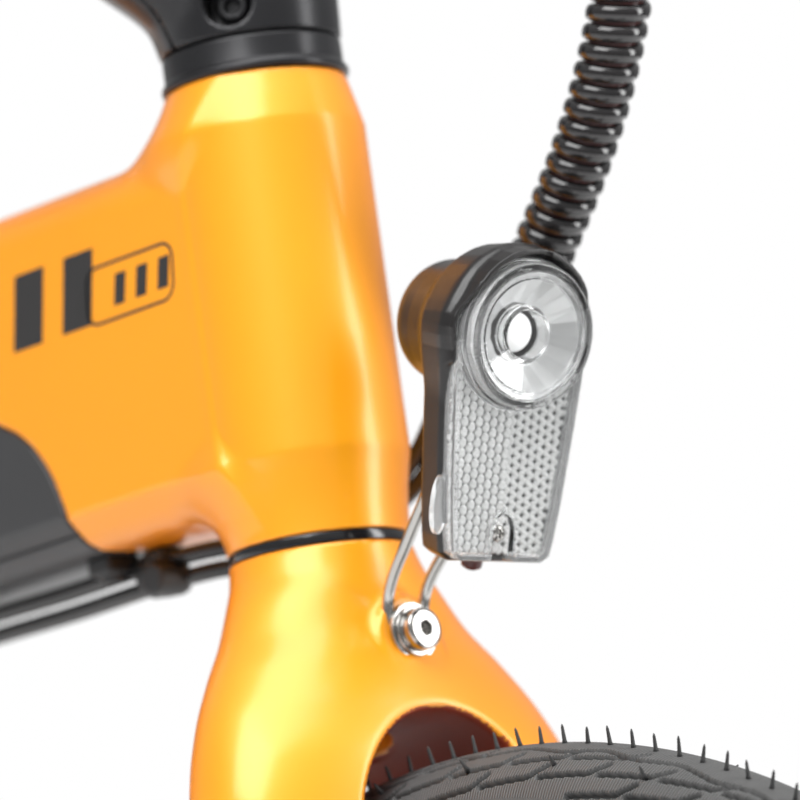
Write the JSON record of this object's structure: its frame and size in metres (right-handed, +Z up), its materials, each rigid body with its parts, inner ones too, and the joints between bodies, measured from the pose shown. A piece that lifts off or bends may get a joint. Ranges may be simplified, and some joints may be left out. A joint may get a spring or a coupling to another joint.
{
  "type": "folding bicycle",
  "caption": "Small-wheeled folding bicycle with a box-section main beam that hinges in the middle, a folding telescoping handlepost, a fork-mounted lamp and disc brakes.",
  "frame": {"origin": "on the ground, midway between the tyres' outermost points and on the bicycle's middle plane", "axes": "+X forward, +Y to the rider's left, +Z up"},
  "size_m": [1.539, 0.584, 1.0732],
  "materials": {
    "alloy": "satin",
    "black": "gloss",
    "charcoal": "satin",
    "chrome": "polished",
    "lens": "clear",
    "paint": "satin",
    "rubber": "matte",
    "satin_black": "satin black",
    "steel": "brushed",
    "tyre": "matte",
    "vinyl": "satin"
  },
  "bodies": {
    "front_frame": {"front_frame": "paint", "battery_pack": "charcoal", "frame_hinge_pin": "steel", "headset_ring": "black", "headset_collar": "satin_black", "neck_cable_a": "black", "neck_cable_b": "black", "cable_clip": "black"},
    "frame_latch": {"frame_latch_lever": "satin_black"},
    "rear_frame": {"rear_frame": "paint", "rear_axle": "steel", "rear_caliper": "satin_black", "rear_cable": "black", "chain": "steel", "seat_clamp": "satin_black"},
    "seat_lever": {"seat_clamp_lever": "satin_black"},
    "kickstand": {"kickstand": "satin_black"},
    "crank": {"crank_left": "alloy", "crank_right": "alloy", "chainring": "satin_black"},
    "freewheel": {"freewheel": "steel"},
    "pedal_block_left": {"pedal_block_left": "satin_black"},
    "pedal_left": {"pedal_left": "black"},
    "pedal_block_right": {"pedal_block_right": "satin_black"},
    "pedal_right": {"pedal_right": "black"},
    "rear_wheel": {"rear_tyre": "tyre", "rear_rim": "satin_black", "rear_hub": "satin_black", "rear_rotor": "steel"},
    "seatpost": {"seatpost": "alloy", "saddle": "vinyl", "saddle_rails": "steel", "saddle_clamp": "satin_black"},
    "fork": {"fork": "paint", "front_axle": "steel", "front_caliper": "satin_black", "stem_base": "satin_black", "post_hinge_pin": "steel", "lamp_bolt": "chrome", "lamp_stay": "chrome", "lamp_housing": "black", "lamp_reflector": "chrome", "lamp_lens": "lens", "lamp_cable_stub": "black"},
    "front_wheel": {"front_tyre": "tyre", "front_rim": "satin_black", "front_hub": "satin_black", "front_rotor": "steel"},
    "handlepost": {"handlepost": "satin_black", "cable_loom": "black"},
    "post_latch": {"post_latch_lever": "satin_black"},
    "bar": {"upper_post": "satin_black", "handlebar": "satin_black", "grip_left": "rubber", "grip_right": "rubber", "lever_bracket_left": "satin_black", "lever_bracket_right": "satin_black", "display": "black"},
    "brake_lever_left": {"brake_lever_left": "satin_black"},
    "brake_lever_right": {"brake_lever_right": "satin_black"}
  },
  "joints": [
    {"name": "frame_fold", "type": "hinge", "parent": "front_frame", "child": "rear_frame", "pos_m": [0.0175, 0.038, 0.49], "axis": [0, 0, -1], "range_deg": [0, 160]},
    {"name": "frame_latch", "type": "hinge", "parent": "front_frame", "child": "frame_latch", "pos_m": [0.0305, -0.05, 0.489], "axis": [0, 0, -1], "range_deg": [0, 120]},
    {"name": "steering", "type": "hinge", "parent": "front_frame", "child": "fork", "pos_m": [0.37487, 0, 0.53961], "axis": [-0.3173, 0, 0.9483], "range_deg": [-55, 55]},
    {"name": "front_wheel_spin", "type": "hinge", "parent": "fork", "child": "front_wheel", "pos_m": [0.5175, 0, 0.252], "axis": [0, 1, 0], "continuous": true},
    {"name": "post_fold", "type": "hinge", "parent": "fork", "child": "handlepost", "pos_m": [0.2723, -0.04525, 0.70353], "axis": [0.6706, -0.7071, 0.2244], "range_deg": [0, 180]},
    {"name": "post_latch", "type": "hinge", "parent": "handlepost", "child": "post_latch", "pos_m": [0.33749, 0.02616, 0.73378], "axis": [-0.6706, 0.7071, -0.2244], "range_deg": [0, 100]},
    {"name": "bar_height", "type": "slide", "parent": "handlepost", "child": "bar", "axis": [0.3173, 0, -0.9483], "range_m": [-0.06, 0.06]},
    {"name": "brake_lever_left", "type": "hinge", "parent": "bar", "child": "brake_lever_left", "pos_m": [0.23104, 0.143, 1.04825], "axis": [-0.3173, 0, 0.9483], "range_deg": [0, 13]},
    {"name": "brake_lever_right", "type": "hinge", "parent": "bar", "child": "brake_lever_right", "pos_m": [0.23104, -0.143, 1.04825], "axis": [0.3173, 0, -0.9483], "range_deg": [0, 13]},
    {"name": "crank_spin", "type": "hinge", "parent": "rear_frame", "child": "crank", "pos_m": [-0.0875, 0, 0.285], "axis": [0, 1, 0], "continuous": true},
    {"name": "freewheel_spin", "type": "hinge", "parent": "rear_frame", "child": "freewheel", "pos_m": [-0.5175, 0, 0.252], "axis": [0, 1, 0], "continuous": true},
    {"name": "rear_wheel_spin", "type": "hinge", "parent": "rear_frame", "child": "rear_wheel", "pos_m": [-0.5175, 0, 0.252], "axis": [0, 1, 0], "continuous": true},
    {"name": "pedal_spin_left", "type": "hinge", "parent": "crank", "child": "pedal_block_left", "pos_m": [0.0775, 0.093, 0.285], "axis": [0, 1, 0], "continuous": true},
    {"name": "pedal_fold_left", "type": "hinge", "parent": "pedal_block_left", "child": "pedal_left", "pos_m": [0.0775, 0.0995, 0.295], "axis": [1, 0, 0], "range_deg": [0, 90]},
    {"name": "pedal_spin_right", "type": "hinge", "parent": "crank", "child": "pedal_block_right", "pos_m": [-0.2525, -0.093, 0.285], "axis": [0, 1, 0], "continuous": true},
    {"name": "pedal_fold_right", "type": "hinge", "parent": "pedal_block_right", "child": "pedal_right", "pos_m": [-0.2525, -0.0995, 0.275], "axis": [1, 0, 0], "range_deg": [0, 90]},
    {"name": "saddle_height", "type": "slide", "parent": "rear_frame", "child": "seatpost", "axis": [0.2924, 0, -0.9563], "range_m": [-0.1, 0.1]},
    {"name": "seat_lever", "type": "hinge", "parent": "rear_frame", "child": "seat_lever", "pos_m": [-0.20792, 0.032, 0.57093], "axis": [-0.2924, 0, 0.9563], "range_deg": [0, 120]},
    {"name": "kickstand", "type": "hinge", "parent": "rear_frame", "child": "kickstand", "pos_m": [-0.4055, 0.09, 0.24], "axis": [-0.067, -0.9258, -0.3719], "range_deg": [-100, 0]}
  ],
  "couplings": [
    {"joint": "freewheel_spin", "follows": "crank_spin", "ratio": 2.6875}
  ]
}
